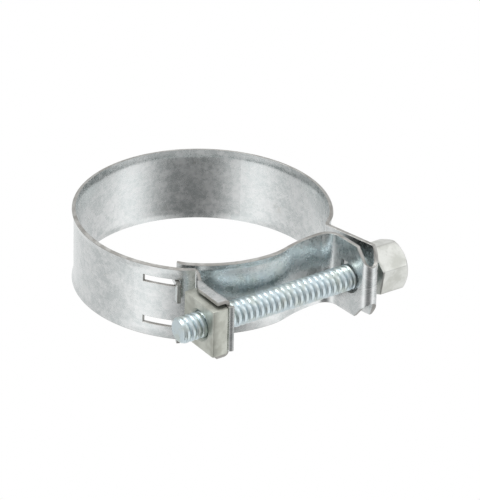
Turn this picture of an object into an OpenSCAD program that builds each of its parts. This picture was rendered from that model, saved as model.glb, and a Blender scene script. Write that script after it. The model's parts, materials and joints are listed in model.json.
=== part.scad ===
// Screw hose clamp made of one folded steel strip, a hexagon-head screw and a square nut.
// Origin: centre of the ring, midway across the band. +X runs along the screw from its tip
// to its head, -Y points from the ring to the ears, +Z is the axis of the hose.

/* [Strip] */
// Thickness of the steel strip
strip_t = 0.75; // [0.7:0.05:0.85]
// Width of the strip
strip_w = 15; // [14.5:0.5:16]
// How far each long edge of the band is rolled outward
roll_out = 0.45; // [0.3:0.05:0.5]
// Width of each rolled edge
roll_w = 1.2; // [0.8:0.1:1.5]

/* [Ring] */
// Radius of the inner face of the band, midway across its width
ring_r = 23.45; // [23.3:0.05:23.6]
// Radius of the inner face of the tongue that bridges the gap
tongue_r = 21.2; // [21:0.1:21.4]
// Angle at which the ring ends and the nut ear begins
ring_end = 232.8; // [232:0.2:233.6]

/* [Slots and hooks] */
// Angle of the slot end nearer the nut
slot_near = 227; // [226.5:0.5:227.5]
// Angle of the slot end farther from the nut
slot_far = 209.5; // [209:0.1:210]
// Height of each slot
slot_h = 1.4; // [1.3:0.1:1.6]
// Height of the middle of the upper slot
slot_top_z = 4.3; // [4.1:0.1:4.5]
// Height of the middle of the lower slot
slot_low_z = -4.3; // [-4.5:0.1:-4.1]

/* [Screw] */
// Distance from the ring's centre to the screw's axis
screw_y = 25.6; // [25.4:0.1:25.8]
// Diameter over the thread
thread_d = 5; // [4.8:0.1:5]
// Pitch of the thread
pitch = 1.25; // [1.2:0.05:1.3]
// Distance from the ring's middle to the screw's tip
tip_x = 22.5; // [22:0.1:24]
// Distance from the ring's middle to the underside of the head
head_x = 20.1; // [20:0.1:20.6]
// Length of the head
head_l = 6.2; // [5:0.1:6.5]
// Size of the hexagon across its flats
head_af = 9; // [8.4:0.1:9.2]

/* [Nut] */
// Side of the square nut
nut_w = 9.5; // [9:0.1:9.6]
// Thickness of the nut
nut_t = 3.2; // [2.8:0.1:3.4]

/* [Ears] */
// Half height of the plate that holds the nut, over its two flanges
nut_ear_z = 5.9; // [5.8:0.05:6]
// Distance from the ring's centre to the outer end of the nut ear's flanges
nut_ear_y = 29.4; // [29:0.1:29.6]
// How far each flange reaches over the nut
flange_l = 2; // [1.8:0.1:2.2]
// Radius of the round hole in the nut ear
nut_hole_r = 3; // [2.9:0.1:3.2]
// Half height of the long hole in the screw ear's inner leg
ear_hole_r = 3.1; // [3:0.1:3.3]
// Distance between the end centres of that long hole
ear_hole_l = 2.2; // [1.8:0.1:2.4]
// Radius of the round hole in the screw ear's outer leg
outer_hole_r = 2.75; // [2.7:0.05:3]

/* [Hidden] */
$fn = 96;

strip_half = strip_w / 2;
mid_r = ring_r + strip_t / 2;       // radius of the band's middle layer
tongue_mid_r = tongue_r + strip_t / 2;
seam = 0.02;                        // clearance where one flex zone meets the next
bend_step = 9;                      // degrees turned by each facet of a bend
past = 1;                           // how far a cutting tool reaches beyond the metal
steel = [0.78, 0.79, 0.80];
bright_steel = [0.84, 0.87, 0.88];
warm_steel = [0.76, 0.75, 0.71];

// Screw ear: the strip leaves the tongue's arc, turns out along the inner leg, folds back on
// itself and returns along the outer leg to the ring. Each bend is [radius, degrees to the left].
tongue_start = -75;                 // angle at which the tongue's arc begins
root_bend = [2.8, -86];
flat_bend = [28, -15];
inner_leg = 6.8;
fold_bend = [1.35, 189.2];
foot_r = 0.9;                       // radius of the bend between outer leg and ring
leg_full_y = 28;                    // the legs keep their full height up to here
fold_z = 3.2;                       // half height of the folded end
fold_y = 31;                        // the corners are cut from leg_full_y to here
between_legs_x = 17.2;              // open space between the inner and the outer leg

// Nut ear
nut_bend_r = 0.8;
neck_z = nut_ear_z - strip_t;       // half height where the band narrows into the ear
neck_y = 20.5;                      // the band has narrowed to its neck here
flange_start_y = 23;                // inner end of each flange's free edge
lip_bend = [0.6, 80];               // outer end of the plate, turned away from the nut
lip_z = 4.6;                        // half height of that turned end
flange_round = 1.1;                 // outside radius of the bend between plate and flange
nut_gap = 0.3;                      // gap between the nut and the plate while the screw is slack
nut_clear = 0.05;                   // radial clearance of the nut's bore on the thread

// Hooks
hook_play = 0.1;                    // clearance of each neck in its slot, above and below
hook_lean = 28;                     // degrees by which each hook leans back towards the nut
tongue_end = -136.6;                // angle at which the tongue's full width ends
lap = 1.5;                          // degrees that the root and the hooks' necks reach into the arc
hook_at = -138.2;                   // angle at which each hook turns outward
hook_tip_r = 25.7;                  // distance of the hooks' outer edges from the ring's centre
hook_top_low = 1.0;                 // lower end of the upper hook

thread_depth = 0.42;
crest = 0.35;                       // width of the flat on each thread, as part of the pitch
tip_chamfer = 0.6;
head_cone = 1.1;                    // length of the chamfer at the head's outer end
head_turn = 10;                     // how far the hexagon is turned about the screw's axis

// A straight run ahead, and a bend of radius r, from a place s = [x, y, heading]
function ahead(s, l) = [[s[0] + l * cos(s[2]), s[1] + l * sin(s[2]), s[2]]];
function bend(s, r, turn) =
    let (n = max(2, ceil(abs(turn) / bend_step)), k = sign(turn))
    [for (j = [1:n]) let (h = s[2] + turn * j / n)
        [s[0] + k * r * (sin(h) - sin(s[2])), s[1] - k * r * (cos(h) - cos(s[2])), h]];
function one_move(s, m) = len(m) == 1 ? ahead(s, m[0]) : bend(s, m[0], m[1]);
function walk(s, moves, i = 0) =
    i == len(moves) ? [s] :
    let (run = one_move(s, moves[i]), n = len(run))
    concat([s], [for (j = [0:1:n - 2]) run[j]], walk(run[n - 1], moves, i + 1));
function on_ring(r, a) = [r * cos(a), r * sin(a), a + 90];
function side(path, off) = [for (s = path) [s[0] - off * sin(s[2]), s[1] + off * cos(s[2])]];
function backwards(list) = [for (i = [len(list) - 1:-1:0]) list[i]];
function outline(path, t) = concat(side(path, t / 2), backwards(side(path, -t / 2)));
function last(list) = list[len(list) - 1];

// The outer leg runs straight until its last bend touches the ring's circle
root_path = walk(on_ring(tongue_mid_r, tongue_start), [flat_bend]);
fold_moves = [root_bend, [inner_leg], fold_bend];
fold_path = walk(last(root_path), fold_moves);
leg_at = last(fold_path);
leg_dir = [cos(leg_at[2]), sin(leg_at[2])];
foot_line = [leg_at[0] + foot_r * leg_dir[1], leg_at[1] - foot_r * leg_dir[0]];
along = foot_line * leg_dir;
outer_leg = -along - sqrt(along * along - foot_line * foot_line + pow(mid_r + foot_r, 2));
foot_at = foot_line + outer_leg * leg_dir;
ring_start = atan2(foot_at[1], foot_at[0]);
foot_turn = ring_start + 90 - leg_at[2];
ear_path = walk(last(root_path), concat(fold_moves, [[outer_leg], [foot_r, foot_turn]]));

nut_path = walk(on_ring(mid_r, ring_end), [[nut_bend_r, 180 - ring_end]]);
plate_x = last(nut_path)[0];
nut_face = plate_x - strip_t / 2 - nut_gap;
nut_root = walk(last(nut_path), [[neck_y + last(nut_path)[1]]]);
nut_plate = walk(last(nut_path), [[nut_ear_y + last(nut_path)[1]], lip_bend]);

zone = (ring_end - ring_start) / 5;

module strip(path, low = -strip_half, high = strip_half, t = strip_t)
    translate([0, 0, low]) linear_extrude(high - low) polygon(outline(path, t));

// Cross-section of the band with both edges rolled outward
module rolled(r) {
    flat_z = strip_half - roll_w;
    polygon([
        [r + roll_out, -strip_half], [r, -flat_z], [r, flat_z], [r + roll_out, strip_half],
        [r + roll_out + strip_t, strip_half], [r + strip_t, flat_z],
        [r + strip_t, -flat_z], [r + roll_out + strip_t, -strip_half]
    ]);
}

module band_arc(r, from, to)
    rotate([0, 0, from]) rotate_extrude(angle = to - from) rolled(r);

// One flex zone of the ring, numbered from the screw ear
module band_zone(i) {
    half_seam = seam / mid_r * 90 / PI;
    color(steel)
        band_arc(ring_r, ring_start + i * zone + half_seam, ring_start + (i + 1) * zone - half_seam);
}

module band_right() band_zone(0);
module band_rear_right() band_zone(1);
module band_rear() band_zone(2);
module band_rear_left() band_zone(3);

module slot(z)
    translate([0, 0, z - slot_h / 2]) rotate([0, 0, slot_far])
        rotate_extrude(angle = slot_near - slot_far)
            translate([ring_r - past, 0]) square([strip_t + 2 * past, slot_h]);

module band_slotted()
    color(steel) difference() {
        band_zone(4);
        slot(slot_top_z);
        slot(slot_low_z);
    }

// Wedge that cuts the corners off a leg, above and below
module corner_cut() {
    reach = strip_half + past;
    slope = (strip_half - fold_z) / (fold_y - leg_full_y);
    for (s = [-1, 1])
        translate([head_x + past, 0, 0]) rotate([90, 0, -90]) linear_extrude(head_x)
            polygon([
                [leg_full_y - (reach - strip_half) / slope, s * reach],
                [fold_y, s * fold_z], [fold_y + strip_half, s * fold_z], [fold_y + strip_half, s * reach]
            ]);
}

module screw_ear()
    color(steel) difference() {
        strip(ear_path);
        corner_cut();
        for (y = [-screw_y, ear_hole_l - screw_y])
            translate([0, y, 0]) rotate([0, 90, 0]) cylinder(h = between_legs_x, r = ear_hole_r);
        translate([0, -screw_y, -ear_hole_r]) cube([between_legs_x, ear_hole_l, 2 * ear_hole_r]);
        translate([between_legs_x, -screw_y, 0]) rotate([0, 90, 0])
            cylinder(h = head_x + past - between_legs_x, r = outer_hole_r);
    }

// Channel section of the nut ear: the plate with a flange bent over the nut above and below
module nut_channel() {
    inner_z = nut_ear_z - strip_t;
    outer_x = plate_x + strip_t / 2;
    inner_x = plate_x - strip_t / 2;
    steps = 6;
    polygon(concat(
        [for (j = [0:steps]) let (a = 90 - 90 * j / steps)
            [outer_x - flange_round * (1 - cos(a)), nut_ear_z - flange_round * (1 - sin(a))]],
        [for (j = [0:steps]) let (a = -90 * j / steps)
            [outer_x - flange_round * (1 - cos(a)), -nut_ear_z + flange_round * (1 + sin(a))]],
        [[inner_x - flange_l, -nut_ear_z], [inner_x - flange_l, -inner_z], [inner_x, -inner_z],
         [inner_x, inner_z], [inner_x - flange_l, inner_z], [inner_x - flange_l, nut_ear_z]]
    ));
}

// Cuts the band's corners down to the neck, and slants the inner end of each flange
module nut_ear_cuts() {
    bend_start = nut_path[0];
    reach = strip_half + past;
    drop = (strip_half - neck_z) / (neck_y + bend_start[1]);
    for (s = [-1, 1]) {
        rotate([90, 0, -90]) linear_extrude(tip_x)
            polygon([
                [-bend_start[1] - (reach - strip_half) / drop, s * reach],
                [neck_y, s * neck_z], [neck_y + past / 2, s * neck_z], [neck_y + past / 2, s * reach]
            ]);
        translate([0, 0, s * (neck_z + reach / 2)]) linear_extrude(reach, center = true)
            polygon([
                [plate_x + past, -neck_y + past], [plate_x + past, -neck_y],
                [nut_face - flange_l, -flange_start_y], [nut_face - flange_l - past, -flange_start_y],
                [nut_face - flange_l - past, -neck_y + past]
            ]);
    }
}

module nut_ear() {
    bend_end = last(nut_path)[1];
    color(steel) difference() {
        union() {
            difference() {
                union() {
                    strip(nut_path);
                    strip(nut_root);
                    translate([0, -neck_y, 0]) rotate([90, 0, 0])
                        linear_extrude(nut_ear_y - neck_y) nut_channel();
                }
                nut_ear_cuts();
            }
            strip([[plate_x, bend_end, 270], [plate_x, -nut_ear_y, 270]], -neck_z, neck_z);
            strip(nut_plate, -lip_z, lip_z);
        }
        translate([plate_x - past, -screw_y, 0]) rotate([0, 90, 0])
            cylinder(h = 2 * past, r = nut_hole_r);
    }
}

// Leaning plate of one hook, as seen along the ring's axis, outside the radius r_low
module hook_plan(r_low) {
    foot = on_ring(tongue_mid_r, hook_at);
    intersection() {
        translate([foot[0], foot[1]]) rotate(hook_at + hook_lean)
            translate([-strip_t / 2, -strip_t / 2]) square([hook_tip_r, strip_t]);
        difference() {
            circle(r = hook_tip_r);
            circle(r = r_low);
        }
    }
}

// A neck of the tongue passes through its slot, and the hook on it turns down to z_tip. A hook
// that reaches the band's rolled edge stands clear of it.
module hook(z_mid, z_tip) {
    low = z_mid - slot_h / 2 + hook_play;
    neck_h = slot_h - 2 * hook_play;
    translate([0, 0, low]) {
        linear_extrude(neck_h) hook_plan(tongue_r + seam / 2);
        rotate([0, 0, hook_at]) rotate_extrude(angle = tongue_end - hook_at + lap)
            translate([tongue_r + seam, 0]) square([strip_t - 2 * seam, neck_h]);
    }
    clear_r = ring_r + strip_t + 2 * hook_play;
    full_low = max(z_tip, roll_w - strip_half + hook_play);
    translate([0, 0, full_low]) linear_extrude(low + neck_h - full_low) hook_plan(clear_r);
    translate([0, 0, z_tip]) linear_extrude(full_low - z_tip + hook_play) hook_plan(clear_r + roll_out);
}

module tongue()
    color(steel) {
        strip(concat([on_ring(tongue_mid_r, tongue_start - lap)], root_path), t = strip_t - 2 * seam);
        band_arc(tongue_r, tongue_end, tongue_start);
        hook(slot_top_z, hook_top_low);
        hook(slot_low_z, -strip_half);
    }

// Half section of the screw's shank, a ring of thread for each pitch
module shank_section() {
    root_r = thread_d / 2 - thread_depth;
    turns = floor((tip_x + head_x - pitch) / pitch);
    thread_from = -tip_x + tip_chamfer;
    polygon(concat(
        [[0, -tip_x], [thread_d / 2 - tip_chamfer, -tip_x]],
        [for (i = [0:turns - 1]) let (x = thread_from + i * pitch) each [
            [thread_d / 2, x], [thread_d / 2, x + crest * pitch],
            [root_r, x + pitch / 2], [root_r, x + (1 - crest / 2) * pitch]]],
        [[root_r, head_x + past], [0, head_x + past]]
    ));
}

module screw()
    color(bright_steel) translate([0, -screw_y, 0]) rotate([0, 90, 0]) {
        rotate_extrude() shank_section();
        translate([0, 0, head_x]) rotate([0, 0, head_turn]) intersection() {
            cylinder(h = head_l, d = head_af / cos(30), $fn = 6);
            union() {
                cylinder(h = head_l - head_cone, d = head_af / cos(30) + past);
                translate([0, 0, head_l - head_cone])
                    cylinder(h = head_cone, d1 = head_af / cos(30), d2 = head_af - head_cone);
            }
        }
    }

module nut() {
    bore_r = thread_d / 2 + nut_clear;
    color(warm_steel) translate([nut_face - nut_t, -screw_y, 0]) difference() {
        translate([0, -nut_w / 2, -nut_w / 2]) cube([nut_t, nut_w, nut_w]);
        translate([-past, 0, 0]) rotate([0, 90, 0]) cylinder(h = nut_t + 2 * past, r = bore_r);
        translate([-seam, 0, 0]) rotate([0, 90, 0])
            cylinder(h = thread_depth, r1 = bore_r + thread_depth, r2 = bore_r);
    }
}

screw_ear();
band_right();
band_rear_right();
band_rear();
band_rear_left();
band_slotted();
nut_ear();
tongue();
screw();
nut();
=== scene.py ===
"""Screw hose clamp: one folded zinc-plated strip, a hexagon-head screw and a square nut.

The classes hold their sizes in millimetres and degrees. Meshes are made in metres in the
part's own frame: origin at the ring's centre, +X along the screw towards its head, -Y from
the ring towards the two ears, +Z along the hose.
"""

import json
import logging
import math
from dataclasses import dataclass, field
from enum import Enum
from typing import Callable, NamedTuple, Sequence, Union

import bmesh
import bpy
from mathutils import Matrix, Vector

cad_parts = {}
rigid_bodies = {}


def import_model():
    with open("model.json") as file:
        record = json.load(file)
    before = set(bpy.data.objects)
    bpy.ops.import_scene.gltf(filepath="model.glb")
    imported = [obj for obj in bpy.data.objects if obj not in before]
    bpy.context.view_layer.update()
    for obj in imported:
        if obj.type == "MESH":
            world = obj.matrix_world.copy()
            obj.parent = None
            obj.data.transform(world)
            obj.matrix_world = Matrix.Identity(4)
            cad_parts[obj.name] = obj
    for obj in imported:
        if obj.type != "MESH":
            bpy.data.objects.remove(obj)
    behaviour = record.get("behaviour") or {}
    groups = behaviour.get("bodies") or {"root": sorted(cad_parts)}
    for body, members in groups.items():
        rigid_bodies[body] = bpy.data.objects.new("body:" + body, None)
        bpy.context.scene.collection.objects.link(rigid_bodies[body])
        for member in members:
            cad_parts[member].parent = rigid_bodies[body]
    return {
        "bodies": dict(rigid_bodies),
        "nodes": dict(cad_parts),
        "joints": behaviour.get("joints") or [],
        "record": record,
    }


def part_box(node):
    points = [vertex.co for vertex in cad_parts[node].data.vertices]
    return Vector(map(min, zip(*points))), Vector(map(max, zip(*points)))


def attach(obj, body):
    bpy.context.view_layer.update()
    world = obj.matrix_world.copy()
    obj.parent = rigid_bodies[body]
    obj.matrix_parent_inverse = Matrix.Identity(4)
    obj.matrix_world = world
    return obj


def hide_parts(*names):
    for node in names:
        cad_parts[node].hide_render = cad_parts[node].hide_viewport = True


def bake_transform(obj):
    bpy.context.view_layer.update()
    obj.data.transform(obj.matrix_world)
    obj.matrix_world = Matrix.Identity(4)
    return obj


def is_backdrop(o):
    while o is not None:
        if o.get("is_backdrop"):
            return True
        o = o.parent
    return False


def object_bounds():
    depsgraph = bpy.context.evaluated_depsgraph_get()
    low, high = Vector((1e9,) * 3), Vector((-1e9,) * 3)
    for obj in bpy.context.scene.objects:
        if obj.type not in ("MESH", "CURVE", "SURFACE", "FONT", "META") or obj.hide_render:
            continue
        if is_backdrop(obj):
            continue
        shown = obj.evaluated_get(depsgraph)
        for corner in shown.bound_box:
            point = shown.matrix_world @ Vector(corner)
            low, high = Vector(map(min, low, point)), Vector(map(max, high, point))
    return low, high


LOG = logging.getLogger("hose_clamp")
MM = 0.001
PLACE = "strip_place"
TINY = 1e-6
STRAIGHT_STEP = 1.0   # longest spacing of cross-sections, in millimetres
BEND_STEP = 7.0       # degrees between cross-sections in a bend
CLOSEST = 0.04        # cross-sections nearer than this are merged
ROUND_POINTS = 64     # points round a hole or the thread


class Part(Enum):
    """The rigid bodies that the clamp's pieces ride on."""

    SCREW_EAR = "screw_ear"
    RIGHT = "band_right"
    REAR_RIGHT = "band_rear_right"
    REAR = "band_rear"
    REAR_LEFT = "band_rear_left"
    SLOTTED = "band_slotted"
    NUT_EAR = "nut_ear"
    TONGUE = "tongue"
    SCREW = "screw"
    NUT = "nut"


class Plating(Enum):
    """Material slots of the record that the finishes belong to."""

    STRIP = "strip_zinc"
    SCREW = "screw_zinc"
    NUT = "nut_zinc"


# ---------------------------------------------------------------- finishes


class Value:
    """A number that varies over a surface, held as one output socket of a node tree."""

    def __init__(self, bench: "Bench", socket: bpy.types.NodeSocket) -> None:
        """Keeps the socket and the bench it belongs to."""
        self.bench = bench
        self.socket = socket

    def _math(self, operation: str, first: "Number", second: "Number") -> "Value":
        """Adds one Math node and returns its result."""
        made = self.bench.node("ShaderNodeMath", {"operation": operation}, {0: first, 1: second})
        return Value(self.bench, made.outputs[0])

    def __add__(self, other: "Number") -> "Value":
        """Returns self + other."""
        return self._math("ADD", self, other)

    def __radd__(self, other: "Number") -> "Value":
        """Returns other + self."""
        return self._math("ADD", other, self)

    def __sub__(self, other: "Number") -> "Value":
        """Returns self - other."""
        return self._math("SUBTRACT", self, other)

    def __rsub__(self, other: "Number") -> "Value":
        """Returns other - self."""
        return self._math("SUBTRACT", other, self)

    def __mul__(self, other: "Number") -> "Value":
        """Returns self * other."""
        return self._math("MULTIPLY", self, other)

    def __rmul__(self, other: "Number") -> "Value":
        """Returns other * self."""
        return self._math("MULTIPLY", other, self)


Number = Union[Value, float]
Colour = tuple[float, float, float]


class Bench:
    """The workbench on which one node tree is put together."""

    def __init__(self, tree: bpy.types.NodeTree) -> None:
        """Clears the tree.

        Args:
            tree: the node tree of a material or of the world.
        """
        self.tree = tree
        tree.nodes.clear()

    def node(self, kind: str, settings: dict | None = None,
             sockets: dict | None = None) -> bpy.types.Node:
        """Adds a node, sets it up and fills its sockets.

        Args:
            kind: the node's type name.
            settings: properties set first; "stops" holds a ramp's (position, grey) pairs.
            sockets: input name or number to a constant, a Value or another node's socket.

        Returns:
            The new node.
        """
        made = self.tree.nodes.new(kind)
        for name, setting in (settings or {}).items():
            if name == "stops":
                self._set_stops(made.color_ramp, setting)
            else:
                setattr(made, name, setting)
        for name, given in (sockets or {}).items():
            if isinstance(given, Value):
                given = given.socket
            if isinstance(given, bpy.types.NodeSocket):
                self.tree.links.new(given, made.inputs[name])
            else:
                made.inputs[name].default_value = given
        return made

    @staticmethod
    def _set_stops(ramp: bpy.types.ColorRamp, stops: Sequence[tuple[float, float]]) -> None:
        """Sets a ramp's grey stops.

        Args:
            ramp: the ramp of a Color Ramp node.
            stops: (position, grey) pairs in rising order.
        """
        while len(ramp.elements) < len(stops):
            ramp.elements.new(1.0)
        for element, (position, grey) in zip(ramp.elements, stops):
            element.position = position
            element.color = (grey, grey, grey, 1.0)

    def place(self) -> bpy.types.NodeSocket:
        """Returns the place on the strip in millimetres: along it, across it and its side."""
        return self.node("ShaderNodeAttribute", {"attribute_name": PLACE}).outputs["Vector"]

    def stretched(self, place: bpy.types.NodeSocket, by: Colour) -> bpy.types.NodeSocket:
        """Returns the place multiplied by a factor along each of its three directions."""
        made = self.node("ShaderNodeVectorMath", {"operation": "MULTIPLY"}, {0: place, 1: by})
        return made.outputs[0]

    def noise(self, place: bpy.types.NodeSocket, per_mm: float, detail: float = 3.0,
              rough: float = 0.55) -> Value:
        """Adds a noise texture.

        Args:
            place: where on the surface, in millimetres.
            per_mm: how many patches fit in a millimetre.
            detail: how many finer layers it has.
            rough: how strong the finer layers are.

        Returns:
            The noise, from 0 to 1.
        """
        sockets = {"Vector": place, "Scale": per_mm, "Detail": detail, "Roughness": rough}
        return Value(self, self.node("ShaderNodeTexNoise", {}, sockets).outputs[0])

    def step(self, value: Value, low: float, high: float) -> Value:
        """Returns 0 below low and 1 above high, with a smooth rise between them.

        Args:
            value: the value to compare.
            low: where the rise starts.
            high: where the rise ends.

        Returns:
            The smoothed step, from 0 to 1.
        """
        sockets = {"Value": value, "From Min": low, "From Max": high}
        made = self.node("ShaderNodeMapRange", {"interpolation_type": "SMOOTHSTEP"}, sockets)
        return Value(self, made.outputs[0])

    def mix(self, share: Number, first: object, second: object) -> bpy.types.NodeSocket:
        """Mixes two colours.

        Args:
            share: how much of the second colour.
            first: a colour or a colour socket.
            second: a colour or a colour socket.

        Returns:
            The mixed colour's socket.
        """
        first, second = ((*c, 1.0) if isinstance(c, tuple) else c for c in (first, second))
        made = self.node("ShaderNodeMix", {"data_type": "RGBA"}, {0: share, 6: first, 7: second})
        return made.outputs[2]

    def metal(self, colour: object, roughness: Number, relief: Value, depth: float, metallic: float) -> None:
        """Finishes the tree with a metal surface.

        Args:
            colour: colour socket of the metal.
            roughness: how blurred its reflections are.
            relief: height of the fine relief, from 0 to 1.
            depth: height of that relief in millimetres.
            metallic: share of metal, the rest being dull oxide.
        """
        bump = self.node("ShaderNodeBump", {}, {"Strength": 1.0, "Distance": depth * MM, "Height": relief})
        surface = self.node("ShaderNodeBsdfPrincipled", {}, {
            "Base Color": colour, "Roughness": roughness, "Metallic": metallic, "Normal": bump.outputs[0],
        })
        self.node("ShaderNodeOutputMaterial", {}, {"Surface": surface.outputs[0]})


def new_material(name: str) -> tuple[bpy.types.Material, Bench]:
    """Makes an empty material and the bench for its nodes.

    Args:
        name: the material's name.

    Returns:
        The material and its bench.
    """
    material = bpy.data.materials.new(name)
    material.use_nodes = True
    return material, Bench(material.node_tree)


@dataclass(frozen=True)
class SatinZinc:
    """Satin zinc on the strip's two faces, with the mottled grain of plated spring steel."""

    name: str = "satin_zinc"
    light: Colour = (0.85, 0.86, 0.86)
    dark: Colour = (0.58, 0.62, 0.62)
    stain: Colour = (0.52, 0.50, 0.45)
    gloss: float = 0.19
    patch_per_mm: float = 0.42
    spangle_per_mm: float = 1.5
    stain_per_mm: float = 0.23
    grain_per_mm: float = 7.0
    rolling: Colour = (0.12, 2.6, 1.0)
    patch_band: tuple[float, float] = (0.38, 0.64)
    spangle_band: tuple[float, float] = (0.36, 0.66)
    stain_band: tuple[float, float] = (0.60, 0.74)
    stain_share: float = 0.35
    relief: float = 0.006

    def material(self) -> bpy.types.Material:
        """Returns the material.

        Returns:
            The finished material.
        """
        material, bench = new_material(self.name)
        place = bench.place()
        patches = bench.step(bench.noise(place, self.patch_per_mm, 4.0), *self.patch_band)
        spangle = bench.step(bench.noise(place, self.spangle_per_mm, 3.0, 0.6), *self.spangle_band)
        rolled = bench.noise(bench.stretched(place, self.rolling), 1.0, 2.0)
        light = patches * 0.40 + spangle * 0.40 + rolled * 0.25
        stained = bench.step(bench.noise(place, self.stain_per_mm, 5.0, 0.7), *self.stain_band)
        colour = bench.mix(light, self.dark, self.light)
        colour = bench.mix(stained * self.stain_share, colour, self.stain)
        grain = bench.noise(place, self.grain_per_mm, 2.0)
        roughness = self.gloss + patches * 0.07 + spangle * 0.06 + grain * 0.05
        bench.metal(colour, roughness, grain * 0.5 + rolled * 0.5 + spangle * 0.6, self.relief, 1.0)
        return material


@dataclass(frozen=True)
class ShearedEdge:
    """Bare sheared edge of the strip: duller, browner and scored across its thickness."""

    name: str = "sheared_edge"
    light: Colour = (0.60, 0.60, 0.58)
    dark: Colour = (0.33, 0.32, 0.30)
    gloss: float = 0.38
    score_per_mm: Colour = (3.2, 0.7, 0.8)
    wear_per_mm: float = 0.5
    wear_band: tuple[float, float] = (0.35, 0.65)
    relief: float = 0.02
    metallic: float = 0.95

    def material(self) -> bpy.types.Material:
        """Returns the material.

        Returns:
            The finished material.
        """
        material, bench = new_material(self.name)
        place = bench.place()
        scores = bench.noise(bench.stretched(place, self.score_per_mm), 1.0, 3.0)
        worn = bench.step(bench.noise(place, self.wear_per_mm, 3.0), *self.wear_band)
        colour = bench.mix(scores * 0.45 + worn * 0.55, self.dark, self.light)
        bench.metal(colour, self.gloss + scores * 0.2, scores, self.relief, self.metallic)
        return material


@dataclass(frozen=True)
class BrightZinc:
    """Blue-white zinc on the screw, with a faint greenish-yellow passivation and dark specks."""

    name: str = "bright_zinc"
    light: Colour = (0.66, 0.76, 0.80)
    tint: Colour = (0.62, 0.67, 0.62)
    speck: Colour = (0.20, 0.22, 0.20)
    gloss: float = 0.27
    tint_per_mm: float = 0.4
    speck_per_mm: float = 3.4
    grain_per_mm: float = 2.4
    tint_band: tuple[float, float] = (0.42, 0.66)
    speck_band: tuple[float, float] = (0.66, 0.72)
    tint_share: float = 0.7
    speck_share: float = 0.5
    relief: float = 0.006

    def material(self) -> bpy.types.Material:
        """Returns the material.

        Returns:
            The finished material.
        """
        material, bench = new_material(self.name)
        place = bench.place()
        tinted = bench.step(bench.noise(place, self.tint_per_mm, 3.0), *self.tint_band)
        specks = bench.step(bench.noise(place, self.speck_per_mm, 2.0, 0.6), *self.speck_band)
        grain = bench.noise(place, self.grain_per_mm, 3.0)
        colour = bench.mix(tinted * self.tint_share, self.light, self.tint)
        colour = bench.mix(specks * self.speck_share, colour, self.speck)
        roughness = self.gloss + grain * 0.12 + specks * 0.2
        bench.metal(colour, roughness, grain - specks * 0.6, self.relief, 1.0)
        return material


@dataclass(frozen=True)
class DullZinc:
    """Dull warm-grey zinc of the nut and the screw's head, smudged by handling."""

    name: str
    light: Colour
    dark: Colour
    gloss: float
    cloud_per_mm: float = 0.35
    smudge_per_mm: float = 0.9
    grain_per_mm: float = 4.0
    cloud_band: tuple[float, float] = (0.36, 0.66)
    smudge_band: tuple[float, float] = (0.56, 0.72)
    smudge_share: float = 0.55
    relief: float = 0.012
    metallic: float = 0.95

    def material(self) -> bpy.types.Material:
        """Returns the material.

        Returns:
            The finished material.
        """
        material, bench = new_material(self.name)
        place = bench.place()
        clouds = bench.step(bench.noise(place, self.cloud_per_mm, 4.0, 0.6), *self.cloud_band)
        smudges = bench.step(bench.noise(place, self.smudge_per_mm, 4.0, 0.7), *self.smudge_band)
        grain = bench.noise(place, self.grain_per_mm, 3.0)
        colour = bench.mix(clouds * 0.7 + grain * 0.3, self.dark, self.light)
        colour = bench.mix(smudges * self.smudge_share, colour, self.dark)
        roughness = self.gloss + smudges * 0.1 + grain * 0.1
        bench.metal(colour, roughness, grain * 0.6 + clouds * 0.4, self.relief, self.metallic)
        return material


HEAD_ZINC = DullZinc("head_zinc", (0.76, 0.77, 0.74), (0.54, 0.55, 0.51), 0.28)
NUT_ZINC = DullZinc("nut_dull_zinc", (0.68, 0.70, 0.64), (0.42, 0.43, 0.38), 0.34)


# ---------------------------------------------------------------- the strip's middle line


class Stop(NamedTuple):
    """A place on the strip's middle line: x, y and the heading in degrees."""

    x: float
    y: float
    heading: float


@dataclass(frozen=True)
class Move:
    """One stretch of the strip: straight, or bent by turn degrees (left positive) at a radius."""

    name: str
    length: float = 0.0
    radius: float = 0.0
    turn: float = 0.0

    @property
    def run(self) -> float:
        """Length of the stretch along the strip's middle."""
        return self.length if self.turn == 0 else self.radius * math.radians(abs(self.turn))

    def after(self, stop: Stop, run: float) -> Stop:
        """Returns the place reached after a length of this stretch.

        Args:
            stop: where the stretch starts.
            run: how far along it.

        Returns:
            The place there.
        """
        start = math.radians(stop.heading)
        if self.turn == 0:
            return Stop(stop.x + run * math.cos(start), stop.y + run * math.sin(start), stop.heading)
        side = math.copysign(1.0, self.turn)
        now = start + side * run / self.radius
        return Stop(
            stop.x + side * self.radius * (math.sin(now) - math.sin(start)),
            stop.y - side * self.radius * (math.cos(now) - math.cos(start)),
            math.degrees(now),
        )


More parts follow.
